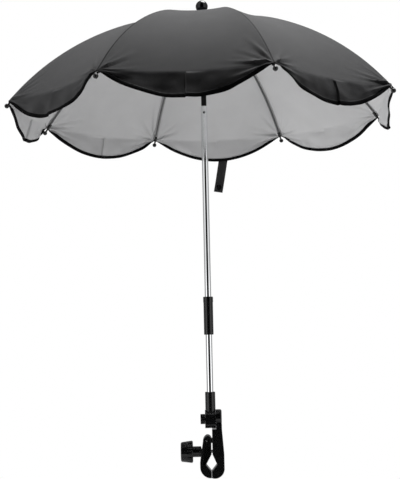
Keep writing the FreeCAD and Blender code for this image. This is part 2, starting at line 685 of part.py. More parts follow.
def finial():
    ball = PIVOT_HEIGHT + FINIAL_BALL_LIFT
    flange_top = CAP_TOP + FINIAL_FLANGE
    meet = math.sqrt(FINIAL_BALL_RADIUS ** 2 - FINIAL_NECK_RADIUS ** 2)
    waist = (flange_top + ball - meet) / 2
    outline = [
        (0, CAP_TOP),
        (FINIAL_FLANGE_RADIUS, CAP_TOP),
        (FINIAL_FLANGE_RADIUS - FINIAL_FLANGE / 2, flange_top),
        (FINIAL_NECK_RADIUS, flange_top),
        (FINIAL_WAIST_RADIUS, waist, FINIAL_NECK_RADIUS, ball - meet),
        (FINIAL_BALL_RADIUS, ball, 0, ball + FINIAL_BALL_RADIUS),
    ]
    return turned_z(outline).cut(rod_z(HEAD_RADIUS, CAP_TOP, HEAD_TOP))


# Rib line: places along it in the plane of a rib that points along +X

SHOULDER_ARC = SHOULDER_RADIUS * math.radians(SHOULDER_TURN)
SPAN_ARC = SPAN_RADIUS * math.radians(SPAN_TURN)
RIB_LENGTH = SHOULDER_ARC + SPAN_ARC + TIP_RUN


def rib_point(along, lift):
    """Radius and height at a distance along the rib line, raised square to it by lift."""
    rise = math.radians(RIB_RISE)
    knee = rise - math.radians(SHOULDER_TURN)
    end = knee - math.radians(SPAN_TURN)
    x = CROWN_PIVOT_RADIUS
    z = PIVOT_HEIGHT
    pieces = ((SHOULDER_RADIUS, rise, SHOULDER_ARC), (SPAN_RADIUS, knee, SPAN_ARC))
    for radius, start, length in pieces:
        turned = start - min(along, length) / radius
        x += radius * (math.sin(start) - math.sin(turned))
        z += radius * (math.cos(turned) - math.cos(start))
        if along <= length:
            return x - lift * math.sin(turned), z + lift * math.cos(turned)
        along -= length
    x += along * math.cos(end)
    z += along * math.sin(end)
    return x - lift * math.sin(end), z + lift * math.cos(end)


def rib_run(start, end, lift):
    """The line from start to end at one lift, as outline entries after its first point."""
    run = []
    for stop in (SHOULDER_ARC, SHOULDER_ARC + SPAN_ARC, RIB_LENGTH):
        if start < stop - 1e-6 and start < end:
            far = min(stop, end)
            run.append(rib_point((start + far) / 2, lift) + rib_point(far, lift))
            start = far
    return run


def rib_strip(start, end, low, high, half_width, y_middle=0.0):
    """Bar that follows the rib line between two lifts."""
    points = [rib_point(start, high)] + straight_tip(rib_run(start, end, high), end)
    back = rib_run(start, end, low)
    stops = [start] + [s for s in (SHOULDER_ARC, SHOULDER_ARC + SPAN_ARC) if start < s < end]
    returned = [rib_point(end, low)]
    for entry, stop in zip(reversed(straight_tip(back, end)), reversed(stops)):
        near = rib_point(stop, low)
        returned.append(entry[:2] + near if len(entry) == 4 else near)
    return slab(points + returned, half_width, y_middle)


def straight_tip(run, end):
    """Turn the last entry into a straight run where it lies on the straight tip."""
    if end > SHOULDER_ARC + SPAN_ARC + 1e-6:
        run[-1] = run[-1][2:]
    return run


def rib(k):
    half = RIB_WIDTH / 2
    inside = half - RIB_WALL
    channel_end = RIB_LENGTH - TIP_BLOCK_LENGTH
    channel = rib_strip(RIB_TONGUE, channel_end, -RIB_BELLY, RIB_BACK, half)
    hollow = rib_strip(RIB_TONGUE + RIB_TONGUE_OVERLAP, channel_end, -RIB_BELLY - CUT_SPARE,
                       RIB_BACK - RIB_WALL, inside)
    tongue = rib_strip(0, RIB_TONGUE + RIB_TONGUE_OVERLAP, -RIB_BACK, RIB_BACK, inside)
    eye = rod_y(RIB_EYE_RADIUS, -inside, inside, CROWN_PIVOT_RADIUS, PIVOT_HEIGHT)
    tang = rib_strip(channel_end - RIB_TONGUE_OVERLAP, RIB_LENGTH - RIB_WALL,
                     -RIB_TANG_HALF - TIP_AXIS_DROP, RIB_TANG_HALF - TIP_AXIS_DROP, inside)
    body = channel.cut(hollow).fuse([tongue, eye, tang])
    joint = joint_place()
    holes = [
        rod_y(WIRE_RADIUS + WIRE_HOLE_GAP, -half, half, CROWN_PIVOT_RADIUS, PIVOT_HEIGHT),
        rod_y(RIVET_RADIUS + RIVET_HOLE_GAP, -half, half, joint[0], joint[1]),
    ]
    return about_mast(body.cut(holes).removeSplitter(), rib_azimuth(k))


def joint_place():
    return rib_point(JOINT_ARC, -JOINT_DROP)


def rib_tip(k):
    """Moulded end block on the rib's tang, with a neck and a ball."""
    high = RIB_BACK - TIP_BLOCK_SINK
    length = TIP_BLOCK_LENGTH
    width = TIP_BLOCK_WIDTH / 2
    tip = Part.makeBox(length, 2 * width, high + TIP_BLOCK_BELLY,
                       Vector(-length, -width, -TIP_BLOCK_BELLY))
    tip = tip.makeFillet(TIP_BLOCK_ROUND, tip.Edges)
    axis = Vector(0, 0, -TIP_AXIS_DROP)
    root = axis - Vector(CUT_SPARE, 0, 0)
    neck = Part.makeCylinder(TIP_NECK_RADIUS, TIP_BALL_REACH + CUT_SPARE, root, Vector(1, 0, 0))
    ball = Part.makeSphere(TIP_BALL_RADIUS, axis + Vector(TIP_BALL_REACH, 0, 0))
    half = RIB_WIDTH / 2 - RIB_WALL + TANG_GAP
    reach = RIB_TANG_HALF + TANG_GAP
    pocket = Part.makeBox(length - RIB_WALL + TANG_GAP, 2 * half, 2 * reach,
                          Vector(-length, -half, -TIP_AXIS_DROP - reach))
    tip = tip.fuse([neck, ball]).cut(pocket).removeSplitter()
    end = RIB_RISE - SHOULDER_TURN - SPAN_TURN
    x, z = rib_point(RIB_LENGTH, 0)
    tip = tip.rotated(Vector(0, 0, 0), Vector(0, 1, 0), -end).translated(Vector(x, 0, z))
    return about_mast(tip, rib_azimuth(k))


def stretcher(k):
    """Bar with a fork riveted to the rib and an open hook under the runner's wire."""
    joint = joint_place()
    run = math.hypot(joint[0] - RUNNER_PIVOT_RADIUS, joint[1] - RUNNER_HEIGHT)
    half_height = STRETCHER_HEIGHT / 2
    half_width = STRETCHER_WIDTH / 2
    lip = RUNNER_WIRE_RADIUS + WIRE_HOLE_GAP
    bar = [
        (FORK_REACH, half_height),
        (run - HOOK_REACH - HOOK_SLOPE, half_height),
        (run - HOOK_REACH, -lip),
        (run + HOOK_REACH, -lip),
        (run + HOOK_REACH, -lip - HOOK_LIP),
        (run - HOOK_REACH - HOOK_SLOPE, -lip - HOOK_LIP),
        (run - HOOK_REACH - 2 * HOOK_SLOPE, -half_height),
        (FORK_REACH, -half_height),
    ]
    inner = RIB_WIDTH / 2 + SIDE_GAP
    outer = inner + FORK_EAR
    ear = [(0, -half_height), (FORK_REACH, -half_height), (FORK_REACH, half_height), (0, half_height)]
    pieces = [block(FORK_REACH, FORK_REACH + FORK_BRIDGE, outer, -half_height, half_height)]
    for side in (-1, 1):
        middle = side * (inner + outer) / 2
        pieces.append(slab(ear, FORK_EAR / 2, middle))
        pieces.append(rod_y(FORK_EYE_RADIUS, middle - FORK_EAR / 2, middle + FORK_EAR / 2, 0, 0))
    body = slab(bar, half_width).fuse(pieces)
    body = body.cut(rod_y(RIVET_RADIUS, -outer, outer, 0, 0)).removeSplitter()
    rivet = rod_y(RIVET_RADIUS, -outer - RIVET_HEAD, outer + RIVET_HEAD, 0, 0)
    for start in (-outer - RIVET_HEAD, outer):
        rivet = rivet.fuse(rod_y(RIVET_HEAD_RADIUS, start, start + RIVET_HEAD, 0, 0))
    both = Part.makeCompound([body, rivet.removeSplitter()])
    both = both.mirror(Vector(0, 0, 0), Vector(1, 0, 0))
    slope = math.degrees(math.atan2(joint[1] - RUNNER_HEIGHT, joint[0] - RUNNER_PIVOT_RADIUS))
    both = both.rotated(Vector(0, 0, 0), Vector(0, 1, 0), -slope)
    return about_mast(both.translated(Vector(joint[0], 0, joint[1])), rib_azimuth(k))


# Runner

def runner():
    top = RUNNER_HEIGHT + RUNNER_ABOVE
    foot = RUNNER_HEIGHT - RUNNER_BELOW
    low = RUNNER_HEIGHT - RUNNER_COLLAR_HALF
    high = RUNNER_HEIGHT + RUNNER_COLLAR_HALF
    body = rod_z(RUNNER_BARREL_RADIUS, foot, top)
    body = body.fuse(rod_z(RUNNER_COLLAR_RADIUS, low, high))
    body = body.fuse(rod_z(RUNNER_FOOT_RADIUS, foot, foot + RUNNER_FOOT))
    body = body.cut(rod_z(RUNNER_BORE, foot, top))
    half = STRETCHER_WIDTH / 2 + SIDE_GAP
    body = body.cut(radial_slots(RUNNER_BARREL_RADIUS, 2 * RUNNER_COLLAR_RADIUS, half, low, high))
    key_half = BUTTON_RADIUS + SIDE_GAP
    key_reach = BUTTON_OUT + RUNNER_KEYWAY_GAP
    keyway = Part.makeBox(2 * key_half, key_reach, top - foot, Vector(-key_half, -key_reach, foot))
    body = body.cut(keyway)
    return body.cut(ring(RUNNER_PIVOT_RADIUS, RUNNER_WIRE_RADIUS, RUNNER_HEIGHT)).removeSplitter()


def runner_wire():
    return ring(RUNNER_PIVOT_RADIUS, RUNNER_WIRE_RADIUS, RUNNER_HEIGHT)


def runner_guide():
    low = RUNNER_HEIGHT - RUNNER_BELOW - GUIDE_OVERHANG
    high = RUNNER_HEIGHT + RUNNER_ABOVE - GUIDE_OVERHANG
    return tube_z(RUNNER_BORE - SLIDE_GAP, HEAD_RADIUS, low, high)


# Canopy

def gore(place):
    """Azimuth from the rib, radius factor and sag factor at a share of the way to the next rib."""
    x = 1 - place + place * math.cos(PITCH)
    y = place * math.sin(PITCH)
    return math.atan2(y, x), math.hypot(x, y), GORE_SAG * 4 * place * (1 - place)


def cloth_point(along, place, lift):
    """Radius and height of the cloth over the rib line, drawn in between the ribs."""
    _, factor, sag = gore(place)
    x, z = rib_point(along, lift)
    near = rib_point(along, lift - 1)
    drop = sag * x
    return x * factor - drop * (x - near[0]), z - drop * (z - near[1])


def panel_section(place, mirror):
    """Closed cut through the cloth in the upright plane at one place, turned to its azimuth."""
    start = (PANEL_INNER_RADIUS - CROWN_PIVOT_RADIUS) / math.cos(math.radians(RIB_RISE))
    knee = SHOULDER_ARC
    flare = math.radians(FLAP_FLARE)
    depth = FLAP_CORNER_DEPTH + FLAP_DEPTH * 4 * place * (1 - place)
    sides = []
    for lift in (CLOTH_TOP, CLOTH_BASE):
        stations = [start, (start + knee) / 2, knee, (knee + RIB_LENGTH) / 2, RIB_LENGTH]
        line = [Vector(x, 0, z) for x, z in (cloth_point(s, place, lift) for s in stations)]
        line.append(line[-1] + Vector(math.sin(flare), 0, -math.cos(flare)) * depth)
        sides.append(line)
    top, under = sides
    under[5].z = top[5].z
    edges = [
        Part.Arc(top[0], top[1], top[2]).toShape(),
        Part.Arc(top[2], top[3], top[4]).toShape(),
        Part.LineSegment(top[4], top[5]).toShape(),
        Part.LineSegment(top[5], under[5]).toShape(),
        Part.LineSegment(under[5], under[4]).toShape(),
        Part.Arc(under[4], under[3], under[2]).toShape(),
        Part.Arc(under[2], under[1], under[0]).toShape(),
        Part.LineSegment(under[0], top[0]).toShape(),
    ]
    wire = Part.Wire(edges)
    azimuth = mirror * gore(place)[0]
    wire = wire.rotated(Vector(0, 0, 0), Vector(0, 0, 1), math.degrees(azimuth))
    if place == PANEL_STATIONS[-1]:
        wire = wire.translated(Vector(math.sin(azimuth), -math.cos(azimuth), 0) * PANEL_SEAM_GAP * mirror)
    return wire


def canopy_panel(k):
    """Cloth from the middle of one gore, over a rib, to the middle of the next gore."""
    left = [panel_section(p, -1) for p in reversed(PANEL_STATIONS[1:])]
    right = [panel_section(p, 1) for p in PANEL_STATIONS]
    panel = Part.makeLoft(left + right, True, True)
    return about_mast(panel, rib_azimuth(k))


def strap_frame():
    """Top middle of the strap and its width, outward and down directions, on the rib along +X."""
    azimuth = gore(STRAP_PLACE)[0]
    fold = cloth_point(RIB_LENGTH, STRAP_PLACE, CLOTH_TOP)
    flare = math.radians(FLAP_FLARE)
    out = Vector(math.cos(PITCH / 2), math.sin(PITCH / 2), 0)
    along = Vector(-math.sin(PITCH / 2), math.cos(PITCH / 2), 0)
    down = Vector(0, 0, -1)
    depth = FLAP_CORNER_DEPTH + FLAP_DEPTH * 4 * STRAP_PLACE * (1 - STRAP_PLACE)
    on_fold = Vector(fold[0] * math.cos(azimuth), fold[0] * math.sin(azimuth), fold[1])
    hem = on_fold + (down * math.cos(flare) + out * math.sin(flare)) * depth + out * STRAP_STANDOFF
    turn = math.radians(STRAP_LEAN)
    leaning = down * math.cos(turn) + along * math.sin(turn)
    across = along * math.cos(turn) - down * math.sin(turn)
    return hem - leaning * STRAP_OVERLAP, across, out, leaning


def placed_on_strap(shape):
    """Move a shape made with X across, Y outward and Z down the strap to its place."""
    top, across, out, down = strap_frame()
    matrix = FreeCAD.Matrix(across.x, out.x, down.x, top.x,
                            across.y, out.y, down.y, top.y,
                            across.z, out.z, down.z, top.z,
                            0, 0, 0, 1)
    placed = shape.copy()
    placed.Placement = FreeCAD.Placement(matrix)
    return about_mast(placed, rib_azimuth(STRAP_RIB - 1))


def tie_strap():
    corner = Vector(-STRAP_WIDTH / 2, 0, 0)
    return placed_on_strap(Part.makeBox(STRAP_WIDTH, STRAP_THICKNESS, STRAP_OVERLAP + STRAP_HANG, corner))


def strap_stud():
    seat = Vector(0, STRAP_THICKNESS, STRAP_OVERLAP + STRAP_HANG - STUD_CAP_INSET)
    cap = Part.makeCylinder(STUD_CAP_RADIUS, STUD_CAP_HEIGHT, seat, Vector(0, 1, 0))
    rim = [e for e in cap.Edges if e.BoundBox.YMin > STRAP_THICKNESS + STUD_CAP_HEIGHT / 2]
    return placed_on_strap(cap.makeFillet(STUD_CAP_HEIGHT / 2, rim))


SINGLE_PIECES = (
    clamp_arm, clamp_jaw, jaw_hinge_pin, threaded_inserts, thrust_washer, clamp_knob, clamp_stud,
    swivel_socket, lock_knob, swivel_bolt, lower_tube, lower_knuckle, tilt_pin, upper_knuckle,
    mast_tube, locking_sleeve, upper_tube, snap_button, snap_spring, crown, crown_wire, canopy_cap,
    finial, runner, runner_wire, runner_guide, tie_strap, strap_stud,
)
RIB_PIECES = (rib, rib_tip, stretcher, canopy_panel)


def main():
    os.makedirs("parts", exist_ok=True)
    for make in SINGLE_PIECES:
        make().exportStep("parts/%s.step" % make.__name__)
    for make in RIB_PIECES:
        for k in range(RIB_COUNT):
            make(k).exportStep("parts/%s_%d.step" % (make.__name__, k + 1))


main()
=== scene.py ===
"""Pram parasol: cloth canopy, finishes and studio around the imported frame. Metres, +Z up."""
import json
import math

import bpy
from mathutils import Matrix, Vector, noise


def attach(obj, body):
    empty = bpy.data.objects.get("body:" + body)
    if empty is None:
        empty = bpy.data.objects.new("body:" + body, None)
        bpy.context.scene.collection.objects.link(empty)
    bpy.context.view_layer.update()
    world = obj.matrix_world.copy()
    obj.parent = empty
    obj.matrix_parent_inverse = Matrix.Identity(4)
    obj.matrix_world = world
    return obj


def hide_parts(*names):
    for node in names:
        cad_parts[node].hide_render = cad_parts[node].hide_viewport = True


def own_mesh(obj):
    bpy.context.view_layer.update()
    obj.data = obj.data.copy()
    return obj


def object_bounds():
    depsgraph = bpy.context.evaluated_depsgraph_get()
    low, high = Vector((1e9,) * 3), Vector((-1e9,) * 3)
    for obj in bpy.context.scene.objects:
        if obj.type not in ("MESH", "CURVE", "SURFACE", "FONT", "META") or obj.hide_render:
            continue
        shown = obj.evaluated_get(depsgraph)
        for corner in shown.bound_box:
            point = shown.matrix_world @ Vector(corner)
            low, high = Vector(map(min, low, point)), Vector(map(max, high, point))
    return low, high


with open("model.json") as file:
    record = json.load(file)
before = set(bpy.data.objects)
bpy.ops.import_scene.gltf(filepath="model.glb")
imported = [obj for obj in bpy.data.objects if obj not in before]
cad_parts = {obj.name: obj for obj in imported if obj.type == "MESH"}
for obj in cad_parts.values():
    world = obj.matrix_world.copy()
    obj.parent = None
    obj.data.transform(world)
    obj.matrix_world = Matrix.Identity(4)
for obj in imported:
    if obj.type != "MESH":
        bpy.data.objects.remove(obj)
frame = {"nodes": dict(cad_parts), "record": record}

CAD_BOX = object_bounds()

# Camera, from the photograph's perspective, with angles in degrees
CAMERA_PLACE = Vector((-0.0009, -1.933, 0.2798))
CAMERA_YAW = 0.351
CAMERA_PITCH = 4.071
CAMERA_ROLL = 1.22
FOCAL_PIXELS = 1029.7
IMAGE_HEIGHT = 479
SENSOR = 36.0

# Canopy: two tangent arcs out from the crown, then a straight tip
RIB_COUNT = 8
FIRST_RIB_AZIMUTH = math.radians(17.66)
PITCH = 2 * math.pi / RIB_COUNT
CROWN_RADIUS = 0.008
CROWN_HEIGHT = 0.8245
RISE = math.radians(12.1)
ARCS = ((0.2622, math.radians(31.6)), (0.4822, math.radians(29.1)))
TIP_RUN = 0.020
INNER_RADIUS = 0.0132
CLOTH_LIFT = 0.00325
CLOTH_THICKNESS = 0.0005
GORE_SAG = 0.027
RIDGE_SOFTNESS = 0.012
FLAP_DEPTH = 0.0465
FLAP_CORNER = 0.0004  # depth of the flap at a rib
FLAP_FLARE = math.radians(14.0)
FOLD_ROUND = 0.004
BINDING_WIDTH = 0.007
BINDING_BULGE = 0.0006
BINDING_EDGE = 0.08  # share of the binding's width in which it rises to its bulge
HEM_ROWS = 3
OUTER_SLOT, INNER_SLOT, BINDING_SLOT = range(3)
CLOTH_COLUMNS = 34
DOME_ROWS = 46
FLAP_ROWS = 22
GRID_CROWDING = 1.5
SHARP_TURN = math.radians(60)

# Creases in the cloth: lines out from each rib's tip, at these angles to the rim in degrees
CREASE_ANGLES = (12.0, 27.0, 46.0, 68.0)
CREASE_JITTER = 9.0
CREASE_BASE = 0.6
CREASE_SIDE_STEP = 1.7
CREASE_LINE_STEP = 2.3
CREASE_LEVEL = 0.5
CREASE_LENGTH = 0.045
CREASE_WIDTH = 0.0016
CREASE_SPREAD = 0.036
CREASE_HEIGHT = 0.0065
CREASE_START = 0.012
RIB_CALM = 0.04  # share of a panel beside the rib over which creases fade in
FLAP_CALM = 0.02  # depth of flap under which its waves fade out
FLAP_WAVE = 0.008
FLAP_WAVE_LENGTH = 0.045
FLAP_WAVE_SEED = Vector((0, 0, 9.9))
FLAP_CRUMPLE = 0.0018
FLAP_CRUMPLE_LENGTH = 0.022

# Lapped seam at the middle of each gore's flap
LAP_RISE = 0.0035
LAP_EDGE = 0.0016
LAP_REACH = 0.03

# Tie strap
STRAP_RIB = 2
STRAP_SIDES = 8
STRAP_EDGE_ANGLES = (45, 0, -45)
STRAP_ROWS = 40
STRAP_SEWN = 0.014
STRAP_CURL = 0.003
STRAP_CURL_TURNS = 1.2
STRAP_TURN_OVER = 0.014
STRAP_DOUBLED = 1.45  # thickness of the turned-over end, in thicknesses of the strap
STRAP_CALM = 0.05

# Materials: noise scales per metre, tones as shares of the base colour, depths in metres
PLASTIC_CLOUD_SCALE = 60.0
PLASTIC_TONES = (0.75, 1.25)
PLASTIC_PATCH_SCALE = 220.0
PLASTIC_PATCH_ROUGHNESS = 0.07
PLASTIC_GRAIN_SCALE = 2600.0
PLASTIC_GLOSS = 0.4
PAINT_GLOSS = 0.12
METAL_LINE_SCALE = 900.0
METAL_LINE_ROUGHNESS = 0.4
METAL_CLOUD_SCALE = 45.0
METAL_TONES = (0.9, 1.05)
DRAWN_ALONG_Z = (1, 1, 0.02)
PRESSED_ALONG_Z = (1, 1, 0.05)
TURNED_ALONG_X = (0.05, 1, 1)
CLOTH_CLOUD = 0.8
CLOTH_CLOUD_SCALE = 18.0
CLOTH_PATCH_SCALE = 90.0
CLOTH_PATCH_ROUGHNESS = 0.06
CLOTH_PUCKER_SCALE = 38.0
CLOTH_PUCKER_DEPTH = 0.0009
CLOTH_PUCKER_STRENGTH = 0.35
CLOTH_THREAD = 0.0007
CLOTH_THREAD_DEPTH = 0.00006
CLOTH_GLOSS = 0.05
COATING_GLOSS = 0.3
WEBBING_THREAD = 0.0022
WEBBING_DEPTH = 0.0009
SEAM_TONE = 0.3
SEAM_CORE = 0.4  # share of a seam's width that has its full tone
FLOOR_COLOR = (0.8, 0.8, 0.8)
FLOOR_ROUGHNESS = 0.5
FLOOR_CLOUD_SCALE = 3.0
FLOOR_TONES = (0.97, 1.03)

# Studio: ranges of the backdrop's light run from low and high directions to low and high levels
DARK_ROOM = (-0.15, 0.5, 0.0, 0.9)
DARK_STRIP = (0.48, 0.8, 0.0, 1.0)
DIM_SIDE = (3.0, 6.0, 1.0, 0.45)
DIM_BACK = (0.1, 0.7, 0.45, 0.35)
FLOOR_RADIUS = 1.6
FLOOR_SIDES = 72
FLOOR_FADE = (0.5, 1.5)
FLOOR_DROP = 0.35
FLOOR_BACK = 0.45
CANOPY_MIDDLE = (0.0, 0.0, 0.72)
# Place, size and power of each light
LIGHTS = {
    "top_light": ((0.4, 0.3, 2.5), (1.3, 1.3), 56.0),
    "left_light": ((-2.2, -0.1, 0.3), (1.4, 1.4), 19.0),
    "bounce_light": ((0.0, 0.1, -0.3), (1.0, 1.0), 2.2),
    "left_strip": ((-1.6, -1.05, 0.1), (0.6, 0.7), 1.2),
    "right_strip": ((1.7, -0.9, 0.1), (0.6, 0.7), 1.0),
}
OUT_OF_GLOSS = ("left_light", "bounce_light")

RIB_LINE = sum(radius * turn for radius, turn in ARCS) + TIP_RUN


def strap_axes():
    """Inner top corner of the strap's CAD solid and its thickness, width and length edges."""
    vertices = frame["nodes"]["tie_strap"].data.vertices
    corners = {tuple(round(c, 6) for c in v.co): Vector(v.co) for v in vertices}
    first = max(corners.values(), key=lambda p: (round(p.z, 5), -math.hypot(p.x, p.y)))
    others = sorted(corners.values(), key=lambda p: (p - first).length)
    return first, others[1] - first, others[2] - first, others[4] - first


def strap_seat():
    """Middle of the part of the strap that is sewn to the flap."""
    first, thick, wide, long = strap_axes()
    return first + thick / 2 + wide / 2 + long.normalized() * STRAP_SEWN / 2


STRAP_SEAT = strap_seat()


def add_object(mesh):
    """Object of the mesh, linked to the scene."""
    made = bpy.data.objects.new(mesh.name, mesh)
    bpy.context.collection.objects.link(made)
    return made


def rib_azimuth(k):
    return FIRST_RIB_AZIMUTH + PITCH * k


def rib_point(along, lift):
    """Radius, height and outward normal at a distance along the rib line, raised by lift."""
    x = CROWN_RADIUS
    z = CROWN_HEIGHT
    slope = RISE
    for radius, turn in ARCS:
        run = min(max(along, 0.0), radius * turn)
        end = slope - run / radius
        x += radius * (math.sin(slope) - math.sin(end))
        z += radius * (math.cos(end) - math.cos(slope))
        slope = end
        along -= run
    x += along * math.cos(slope)
    z += along * math.sin(slope)
    normal = (-math.sin(slope), math.cos(slope))
    return x + lift * normal[0], z + lift * normal[1], normal


def soft_place(place):
    """Share of the way to the next rib, rounded off over the rib so that the ridge is no knife edge."""
    half = math.sqrt(0.25 + RIDGE_SOFTNESS ** 2) - RIDGE_SOFTNESS
    return 0.5 * (math.sqrt(place ** 2 + RIDGE_SOFTNESS ** 2) - RIDGE_SOFTNESS) / half


def dome_point(along, place):
    """Cloth over one rib, which points along +X; place runs from -0.5 to 0.5 across the panel."""
    share = soft_place(place)
    x_share = 1 - abs(place) + abs(place) * math.cos(PITCH)
    y_share = abs(place) * math.sin(PITCH)
    azimuth = math.copysign(math.atan2(y_share, x_share), place)
    radius, height, normal = rib_point(along, CLOTH_LIFT)
    drop = GORE_SAG * 4 * share * (1 - share) * radius
    reach = radius * math.hypot(x_share, y_share) - drop * normal[0]
    point = Vector((reach * math.cos(azimuth), reach * math.sin(azimuth), height - drop * normal[1]))
    return point, azimuth


def flap_depth(place):
    """Depth of the scalloped flap, which is deepest at mid-gore."""
    return FLAP_CORNER + FLAP_DEPTH * 4 * abs(place) * (1 - abs(place))


def flap_point(down, place):
    """Point on the flap, which flares outward, at a distance below the fold."""
    fold, azimuth = dome_point(RIB_LINE, place)
    outward = Vector((math.cos(azimuth), math.sin(azimuth), 0)) * math.sin(FLAP_FLARE)
    return fold + (outward - Vector((0, 0, math.cos(FLAP_FLARE)))) * down


def cloth_point(along, place):
    """Point at a distance along the cloth: the dome, a rounded fold, then the flap."""
    ease = min(FOLD_ROUND, flap_depth(place) / 2)
    past = along - RIB_LINE
    if past <= -ease:
        return dome_point(along, place)[0]
    if past >= ease:
        return flap_point(past, place)
    share = (past + ease) / (2 * ease)
    before = dome_point(RIB_LINE - ease, place)[0]
    fold = dome_point(RIB_LINE, place)[0]
    after = flap_point(ease, place)
    return before * (1 - share) ** 2 + fold * 2 * share * (1 - share) + after * share ** 2


def rim_distance(share):
    """Distance along the rim for a share of the way between two ribs."""
    tip, _ = dome_point(RIB_LINE, 0.0)
    return share * 2 * math.sin(PITCH / 2) * tip.x


def tip_crease(aside, off_rim, seed):
    """Height of the fine folds that run out from a rib's tip over the dome and the flap."""
    reach = math.hypot(aside, off_rim)
    fade = min(1.0, reach / CREASE_START) * math.exp(-(reach / CREASE_LENGTH) ** 2)
    height = 0.0
    for i, angle in enumerate(CREASE_ANGLES):
        chance = noise.noise(Vector((seed * CREASE_SIDE_STEP, i * CREASE_LINE_STEP, CREASE_LEVEL)))
        line = math.radians(angle + CREASE_JITTER * chance)
        off_line = off_rim * math.cos(line) - aside * math.sin(line)
        width = CREASE_WIDTH + CREASE_SPREAD * reach
        height += CREASE_HEIGHT * (CREASE_BASE + chance) * math.exp(-(off_line / width) ** 2)
    return height * fade


def seam_lap(aside):
    """Rise of the edge that laps over the next panel: steep at mid-gore, then a slow fall."""
    return LAP_RISE * min(aside / LAP_EDGE, max(0.0, 1 - (aside - LAP_EDGE) / LAP_REACH))


def crease(along, place, point, k):
    """How far the cloth stands off its smooth form: tip folds, a wavy flap and a lapped seam."""
    down = along - RIB_LINE
    half_panel = 2 * k + (place > 0)
    off = tip_crease(rim_distance(abs(place)), abs(down), half_panel) * min(1.0, abs(place) / RIB_CALM)
    if down > 0:
        depth = flap_depth(place)
        share = min(1.0, down / depth)
        calm = min(1.0, max(0.0, (point - STRAP_SEAT).length - STRAP_CALM / 2) / STRAP_CALM)
        wave = FLAP_WAVE * share * noise.noise(point / FLAP_WAVE_LENGTH + FLAP_WAVE_SEED)
        crumple = FLAP_CRUMPLE * math.sin(math.pi * share) * noise.noise(point / FLAP_CRUMPLE_LENGTH)
        off += (wave + crumple) * calm * min(1.0, depth / FLAP_CALM)
        if place < 0:
            off += calm * seam_lap(rim_distance(0.5 + place)) * min(1.0, down / FOLD_ROUND)
    return off


def hem_binding_width(place):
    """Width of the binding measured down the cloth, which is more where the hem runs at a slant."""
    slope = FLAP_DEPTH * 4 * (1 - 2 * abs(place)) / rim_distance(1.0)
    return min(BINDING_WIDTH * math.hypot(1, slope), flap_depth(place) / 2)


def row_distances(place):
    """Distances along the cloth of one column's points, closer together at the fold and the hem."""
    start = (INNER_RADIUS - CROWN_RADIUS) / math.cos(RISE)
    depth = flap_depth(place)
    top = RIB_LINE - FOLD_ROUND
    dome = [top + (start - top) * (1 - i / DOME_ROWS) ** GRID_CROWDING for i in range(DOME_ROWS + 1)]
    binding = hem_binding_width(place)
    bottom = RIB_LINE + depth - binding
    flap = [top + (bottom - top) * i / FLAP_ROWS for i in range(1, FLAP_ROWS + 1)]
    edge = binding * BINDING_EDGE
    return dome + flap + [bottom + edge, RIB_LINE + depth - edge, RIB_LINE + depth]


def column_places():
    """Places across a panel, closer together at the rib and at the lapped seam."""
    half = [0.5 * (i / CLOTH_COLUMNS) ** GRID_CROWDING for i in range(1, CLOTH_COLUMNS)]
    beside_seam = (0.5 * LAP_REACH, LAP_EDGE, 0.5 * LAP_EDGE, 0.0)
    half += [0.5 - aside / rim_distance(1.0) for aside in beside_seam]
    half.sort()
    return [-place for place in reversed(half)] + [0.0] + half


def panel_grid(k):
    """Columns of a panel's points: smooth place, distance along, place across, height of crease."""
    turn = Matrix.Rotation(rib_azimuth(k), 3, "Z")
    columns = []
    for place in column_places():
        column = []
        for along in row_distances(place):
            smooth = turn @ cloth_point(along, place)
            column.append((smooth, along, place, crease(along, place, smooth, k)))
        columns.append(column)
    return columns


def grid_normals(points):
    """Outward normal at each point of a grid of columns."""
    normals = []
    last_column = len(points) - 1
    for i, column in enumerate(points):
        row = []
        for j in range(len(column)):
            across = points[min(i + 1, last_column)][j] - points[max(i - 1, 0)][j]
            down = column[min(j + 1, len(column) - 1)] - column[max(j - 1, 0)]
            row.append(down.cross(across).normalized())
        normals.append(row)
    return normals


